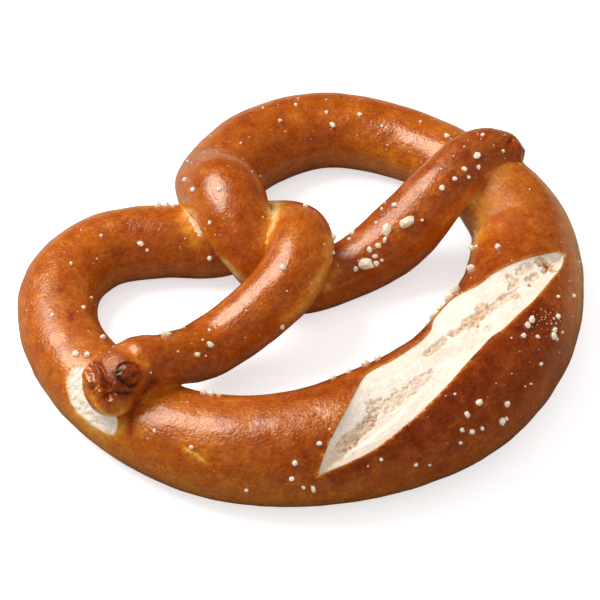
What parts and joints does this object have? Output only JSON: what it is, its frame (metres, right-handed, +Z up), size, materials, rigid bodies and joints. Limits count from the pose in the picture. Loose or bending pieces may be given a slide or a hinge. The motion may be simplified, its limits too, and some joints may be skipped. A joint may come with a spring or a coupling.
{
  "type": "soft pretzel",
  "caption": "Baked soft pretzel: one looped and twisted rope of dough, thick in the belly, with its arms pressed on the shoulders, a long slit in the belly and coarse salt.",
  "frame": {"origin": "middle of the pretzel's outline on the surface that it lies on", "axes": "+X from the left shoulder to the right one, +Y from the thick belly to the loops and the twist, +Z up"},
  "size_m": [0.1536, 0.1424, 0.0322],
  "materials": {
    "crust": "satin baked crust",
    "crumb": "matte torn crumb",
    "salt": "coarse crystals"
  },
  "bodies": {
    "root": {"pretzel": "crust"}
  },
  "joints": []
}
